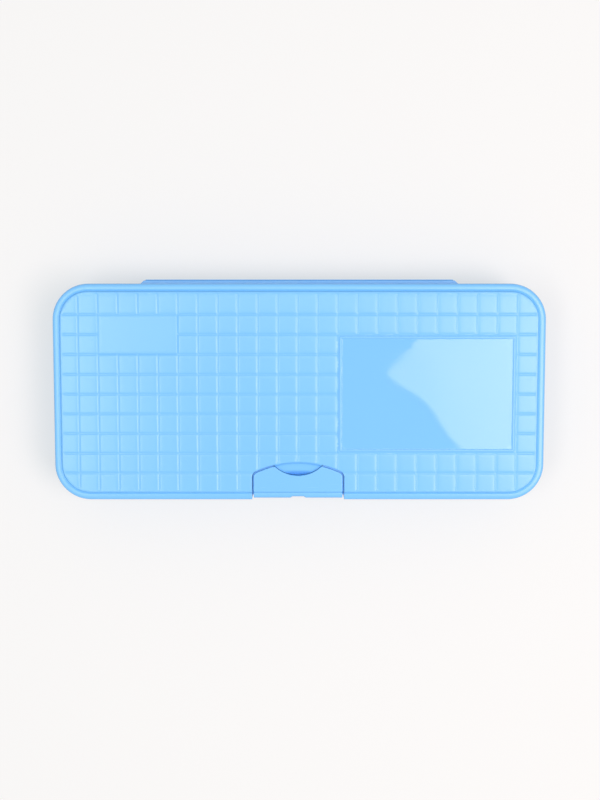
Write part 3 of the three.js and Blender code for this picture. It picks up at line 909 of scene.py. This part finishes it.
def feed(tree, node, **inputs):
    """Sets a node's inputs to plain values, or links them to other nodes' sockets.

    An input goes by its name, with an underscore for a space, or by its number after an underscore.
    """
    for name, value in inputs.items():
        socket = node.inputs[int(name[1:]) if name[1:].isdigit() else name.replace("_", " ")]
        if isinstance(value, bpy.types.NodeSocket):
            tree.links.new(value, socket)
        else:
            socket.default_value = value
    return node


def add_node(tree, kind, settings=None, **inputs):
    made = tree.nodes.new(kind)
    for name, value in (settings or {}).items():
        setattr(made, name, value)
    return feed(tree, made, **inputs)


def new_group(name, inputs, outputs):
    """An empty node group with named sockets: name, kind and default."""
    group = bpy.data.node_groups.new(name, "ShaderNodeTree")
    for label, kind, value in inputs:
        socket = group.interface.new_socket(label, in_out="INPUT", socket_type=kind)
        socket.default_value = value
    for label, kind in outputs:
        group.interface.new_socket(label, in_out="OUTPUT", socket_type=kind)
    entry = group.nodes.new("NodeGroupInput")
    leave = group.nodes.new("NodeGroupOutput")
    return group, entry.outputs, leave.inputs


def math_node(tree, operation, first, second):
    return add_node(tree, "ShaderNodeMath", {"operation": operation}, _0=first, _1=second).outputs[0]


def noise_at(tree, scale, detail=2.0):
    """Noise fixed to the object."""
    place = add_node(tree, "ShaderNodeTexCoord").outputs["Object"]
    return add_node(tree, "ShaderNodeTexNoise", Vector=place, Scale=scale, Detail=detail).outputs["Fac"]


def worn_edges_group():
    """Lightens a colour where the surface turns sharply, broken up by a fine noise."""
    inputs = [
        ("Colour", "NodeSocketColor", (1, 1, 1, 1)),
        ("Edge Colour", "NodeSocketColor", (1, 1, 1, 1)),
        ("Amount", "NodeSocketFloat", 0.3),
    ]
    group, entry, leave = new_group("worn_edges", inputs, [("Colour", "NodeSocketColor")])
    turn = add_node(group, "ShaderNodeNewGeometry").outputs["Pointiness"]
    sharp = add_node(group, "ShaderNodeMapRange", Value=turn, From_Min=0.54, From_Max=0.62).outputs[0]
    broken = add_node(group, "ShaderNodeMapRange", Value=noise_at(group, 700.0), From_Min=0.3, From_Max=0.6)
    share = math_node(group, "MULTIPLY", sharp, broken.outputs[0])
    share = math_node(group, "MULTIPLY", share, entry["Amount"])
    colours = {"_6": entry["Colour"], "_7": entry["Edge Colour"]}
    mixed = add_node(group, "ShaderNodeMix", {"data_type": "RGBA"}, _0=share, **colours)
    group.links.new(mixed.outputs[2], leave["Colour"])
    return group


def moulding_group():
    """Slight clouding of the colour, uneven gloss and the fine texture that a mould leaves."""
    inputs = [
        ("Colour", "NodeSocketColor", (1, 1, 1, 1)),
        ("Clouding", "NodeSocketFloat", 0.05),
        ("Roughness", "NodeSocketFloat", 0.3),
        ("Unevenness", "NodeSocketFloat", 0.2),
    ]
    outputs = [("Colour", "NodeSocketColor"), ("Roughness", "NodeSocketFloat"), ("Height", "NodeSocketFloat")]
    group, entry, leave = new_group("moulding", inputs, outputs)
    cloud = math_node(group, "SUBTRACT", noise_at(group, 28.0, 3.0), 0.5)
    fleck = math_node(group, "SUBTRACT", noise_at(group, 420.0), 0.5)
    both = math_node(group, "ADD", cloud, math_node(group, "MULTIPLY", fleck, 0.35))
    bright = math_node(group, "ADD", math_node(group, "MULTIPLY", both, entry["Clouding"]), 1.0)
    shaded = add_node(group, "ShaderNodeVectorMath", {"operation": "SCALE"}, _0=entry["Colour"], Scale=bright)
    group.links.new(shaded.outputs[0], leave["Colour"])
    patch = math_node(group, "SUBTRACT", noise_at(group, 95.0, 4.0), 0.5)
    uneven = math_node(group, "ADD", math_node(group, "MULTIPLY", patch, entry["Unevenness"]), 1.0)
    group.links.new(math_node(group, "MULTIPLY", uneven, entry["Roughness"]), leave["Roughness"])
    fine = math_node(group, "MULTIPLY", noise_at(group, 2600.0), 0.4)
    broad = noise_at(group, 240.0, 3.0)
    group.links.new(math_node(group, "ADD", fine, broad), leave["Height"])
    return group


def hairlines_group():
    """Fine scratches in two directions, as a mask."""
    inputs = [("Scale", "NodeSocketFloat", 60.0)]
    group, entry, leave = new_group("hairlines", inputs, [("Mask", "NodeSocketFloat")])
    place = add_node(group, "ShaderNodeTexCoord").outputs["Object"]
    total = 0.0
    for turn in (0.45, 2.1):
        drawn = add_node(group, "ShaderNodeMapping", Vector=place, Rotation=(0, 0, turn), Scale=(1, 22, 1))
        drawn = drawn.outputs[0]
        lines = add_node(group, "ShaderNodeTexNoise", Vector=drawn, Scale=entry["Scale"], Detail=1.0)
        thin = add_node(group, "ShaderNodeMapRange", Value=lines.outputs["Fac"], From_Min=0.7, From_Max=0.74)
        total = math_node(group, "ADD", thin.outputs[0], total)
    group.links.new(math_node(group, "MINIMUM", total, 1.0), leave["Mask"])
    return group


WORN_EDGES = worn_edges_group()
MOULDING = moulding_group()
HAIRLINES = hairlines_group()


def place_group(tree, group, **inputs):
    return add_node(tree, "ShaderNodeGroup", {"node_tree": group}, **inputs).outputs


def new_material(name):
    """An empty finish, with its nodes and its shader."""
    material = bpy.data.materials.new(name)
    material.use_nodes = True
    return material, material.node_tree, material.node_tree.nodes["Principled BSDF"]


def moulded_plastic(name, colour, clouding, roughness, unevenness, relief, scratches=0.0):
    """Glossy polypropylene with pale worn edges. Relief is the height of its texture in metres."""
    material, tree, shader = new_material(name)
    settings = {"Colour": colour, "Clouding": clouding, "Roughness": roughness, "Unevenness": unevenness}
    moulding = place_group(tree, MOULDING, **settings)
    worn = place_group(tree, WORN_EDGES, Colour=moulding["Colour"], Edge_Colour=PALE_BLUE, Amount=0.35)
    rough = moulding["Roughness"]
    if scratches:
        mask = place_group(tree, HAIRLINES, Scale=60.0)["Mask"]
        rough = math_node(tree, "ADD", rough, math_node(tree, "MULTIPLY", mask, scratches))
    bump = add_node(tree, "ShaderNodeBump", Height=moulding["Height"], Distance=relief, Strength=0.35)
    feed(tree, shader, IOR=1.5, Base_Color=worn["Colour"], Roughness=rough, Normal=bump.outputs[0])
    return material


def drawn_steel(name):
    """Wire with fine lines along it from drawing."""
    material, tree, shader = new_material(name)
    moulding = place_group(tree, MOULDING, Colour=STEEL_GREY, Clouding=0.15, Roughness=0.3, Unevenness=0.5)
    place = add_node(tree, "ShaderNodeTexCoord").outputs["Object"]
    long = add_node(tree, "ShaderNodeMapping", Vector=place, Scale=(0.06, 1, 1)).outputs[0]
    lines = add_node(tree, "ShaderNodeTexNoise", Vector=long, Scale=9000.0, Detail=2.0).outputs["Fac"]
    bump = add_node(tree, "ShaderNodeBump", Height=lines, Distance=0.00002, Strength=0.4).outputs[0]
    colour, rough = moulding["Colour"], moulding["Roughness"]
    feed(tree, shader, Metallic=1.0, Base_Color=colour, Roughness=rough, Normal=bump)
    return material


SKY_BLUE = (0.192, 0.538, 0.965, 1)
PALE_BLUE = (0.3, 0.65, 0.97, 1)
DEEPER_BLUE = (0.165, 0.49, 0.89, 1)
STEEL_GREY = (0.56, 0.57, 0.58, 1)

# Name, colour, clouding, roughness, unevenness, relief in metres and depth of the scratches' haze
lid_plastic = moulded_plastic("lid_sky_blue", SKY_BLUE, 0.05, 0.26, 0.2, 0.000012)
plate_plastic = moulded_plastic("name_plate_polish", SKY_BLUE, 0.03, 0.032, 0.3, 0.0000012, 0.04)
tray_plastic = moulded_plastic("tray_sky_blue", SKY_BLUE, 0.05, 0.28, 0.2, 0.000014)
latch_plastic = moulded_plastic("latch_sky_blue", SKY_BLUE, 0.05, 0.24, 0.2, 0.00001, 0.06)
film_plastic = moulded_plastic("film_satin_blue", DEEPER_BLUE, 0.08, 0.42, 0.25, 0.00006)
pin_steel = drawn_steel("pin_drawn_steel")


# ---- the case put together ----

def fit(piece, body, slot, *materials):
    """Gives a piece its finishes and the body it moves with. Its colour slot is not used."""
    for material in materials:
        piece.data.materials.append(material)
    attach(piece, body)
    return piece


def polish_name_plate(piece):
    """Gives the second material to the flat field inside the bead."""
    for face in piece.data.polygons:
        x, y, z = face.center / MM
        inside = inside_rectangle(np.array(x), np.array(y - ROW_Y), BEAD_FIELD, BEAD_CORNER)
        if z > PANEL_Z - 1 and inside > BEAD_WIDTH - 0.3:
            face.material_index = 1


lid_body = fit(lid_piece().build("lid_shell", 50), "lid", "lid_plastic", lid_plastic, plate_plastic)
polish_name_plate(lid_body)
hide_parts("lid")
lid_flange = flange_piece(LID_Z, LID_Z + FLANGE_HEIGHT).build("lid_hinge_flange")
fit(lid_flange, "lid", "lid_plastic", lid_plastic)

tray_body = fit(tray_piece().build("tray_shell", 50), "base", "tray_plastic", tray_plastic)
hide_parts("base_tray")
tray_flange = flange_piece(EDGE_Z - FLANGE_HEIGHT, EDGE_Z).build("tray_hinge_flange")
fit(tray_flange, "base", "tray_plastic", tray_plastic)
for name, shell in {**partition_pieces(), **boss_pieces()}.items():
    fit(shell.build(name), "base", "tray_plastic", tray_plastic)

latch_body = fit(latch_piece().build("latch_body", 50), "latch", "latch_plastic", latch_plastic)
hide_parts("latch")
for side_name, way in (("left", -1), ("right", 1)):
    fit(cheek_piece(way).build("latch_cheek_" + side_name), "latch", "latch_plastic", latch_plastic)
    fit(snap_ball_piece(way).build("snap_ball_" + side_name), "latch", "latch_plastic", latch_plastic)
    fit(rebate_piece(way).build("latch_rebate_" + side_name), "latch", "latch_plastic", latch_plastic)

pin_body = fit(pin_piece().build("pin_wire"), "base", "pin_steel", pin_steel)
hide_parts("latch_pin")

film_body = film_piece().build("film_strip")
film_body.data.materials.append(film_plastic)
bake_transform(film_body)
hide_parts("hinge_film")


# ---- studio ----

# Lengths in metres
FLOOR_HALF = 4
FLOOR_Z = -0.00005  # just clear of the tray's underside
FLOOR_PAINT = (0.46, 0.46, 0.455, 1)
FLOOR_TINT = (0.94, 0.955, 0.96, 1)
FLOOR_GLOW = 0.465
WORLD_LEVEL = 0.59
WORLD_SHOWN = 0.95
SOFTBOX_HEIGHT = 1.03
WARM_WHITE = (1, 0.84, 0.8)
# A faded softbox is this bright at its near corner, and full from here on, in shares of its sides.
FADE_LEVEL = 0.5
FADE_FROM = 0.1
FADE_TO = 0.75
CAMERA_TARGET = (0.0003, -0.0039, 0.0316)
CAMERA_DISTANCE = 0.5
CAMERA_LEAN = math.radians(5.2)


def shown_rays(tree):
    """One for a ray from the camera, a mirror or glass, zero for the light that falls on the case."""
    seen = add_node(tree, "ShaderNodeLightPath").outputs
    shown = math_node(tree, "MAXIMUM", seen["Is Camera Ray"], seen["Is Transmission Ray"])
    return math_node(tree, "MAXIMUM", shown, seen["Is Glossy Ray"])


def pale_floor():
    """A wide floor that looks nearly white and keeps the case's shadow."""
    mesh = bpy.data.meshes.new("floor")
    corners = [(FLOOR_HALF * x, FLOOR_HALF * y, FLOOR_Z) for x, y in ((-1, -1), (1, -1), (1, 1), (-1, 1))]
    mesh.from_pydata(corners, [], [(0, 1, 2, 3)])
    material, tree, shader = new_material("pale_floor")
    tree.nodes.clear()
    strength = math_node(tree, "MULTIPLY", shown_rays(tree), FLOOR_GLOW)
    glow = add_node(tree, "ShaderNodeEmission", Color=FLOOR_TINT, Strength=strength)
    matt = add_node(tree, "ShaderNodeBsdfDiffuse", Color=FLOOR_PAINT)
    both = add_node(tree, "ShaderNodeAddShader", _0=glow.outputs[0], _1=matt.outputs[0])
    add_node(tree, "ShaderNodeOutputMaterial", Surface=both.outputs[0])
    mesh.materials.append(material)
    floor = placed("floor", mesh)


def soft_world():
    """Even light from all round, which looks pale where it is seen or mirrored."""
    world = bpy.data.worlds.new("studio")
    world.use_nodes = True
    bpy.context.scene.world = world
    tree = world.node_tree
    tree.nodes.clear()
    levels = {"_2": WORLD_LEVEL, "_3": WORLD_SHOWN}
    level = add_node(tree, "ShaderNodeMix", {"data_type": "FLOAT"}, _0=shown_rays(tree), **levels)
    glow = add_node(tree, "ShaderNodeBackground", Color=(1, 1, 1, 1), Strength=level.outputs[0])
    add_node(tree, "ShaderNodeOutputWorld", Surface=glow.outputs[0])


def fade(lamp):
    """Dims a lamp towards its near corner."""
    lamp.use_nodes = True
    tree = lamp.node_tree
    place = add_node(tree, "ShaderNodeNewGeometry").outputs["Parametric"]
    place = add_node(tree, "ShaderNodeSeparateXYZ", _0=place).outputs
    away = math_node(tree, "ADD", place[0], place[1])
    levels = {"From_Min": FADE_FROM, "From_Max": FADE_TO, "To_Min": FADE_LEVEL, "To_Max": 1.0}
    level = add_node(tree, "ShaderNodeMapRange", Value=away, **levels)
    feed(tree, tree.nodes["Emission"], Strength=level.outputs[0])


def softbox(name, corner, angle, long, short, watts, colour=(1, 1, 1)):
    """A level rectangular light with one corner at a place, its long side at an angle from X."""
    lamp = bpy.data.lights.new(name, "AREA")
    lamp.shape = "RECTANGLE"
    lamp.size = long
    lamp.size_y = short
    lamp.energy = watts
    lamp.color = colour
    turn = math.radians(angle)
    along = Vector((math.cos(turn), math.sin(turn), 0))
    across = Vector((-math.sin(turn), math.cos(turn), 0))
    holder = placed(name, lamp)
    holder.location = Vector((*corner, SOFTBOX_HEIGHT)) + along * long / 2 + across * short / 2
    holder.rotation_euler = (0, 0, turn)
    return lamp


def overhead_camera():
    """Above the lid and a little behind it, with the hinge at the top of the view."""
    lens = bpy.data.cameras.new("overhead")
    lens.lens = 54
    lens.sensor_width = 36
    camera = placed("overhead", lens)
    target = Vector(CAMERA_TARGET)
    back = Vector((0, math.sin(CAMERA_LEAN), math.cos(CAMERA_LEAN)))
    right = Vector((1, 0, 0))
    up = back.cross(right)
    place = target + back * CAMERA_DISTANCE
    rows = [(*row, shift) for row, shift in zip(zip(right, up, back), place)]
    camera.matrix_world = Matrix(rows + [(0, 0, 0, 1)])
    bpy.context.scene.camera = camera


pale_floor()
soft_world()
# Name, corner in metres, angle in degrees, both sides in metres, watts and colour
fade(softbox("softbox_right", (0.108, -0.066), -44, 0.62, 0.42, 6.1, WARM_WHITE))
softbox("softbox_left", (-0.5, -0.32), 0, 0.24, 0.46, 1.9)
softbox("softbox_back", (-0.35, 0.025), 0, 0.7, 0.16, 1.0)
overhead_camera()
bpy.context.scene.view_settings.view_transform = "Standard"
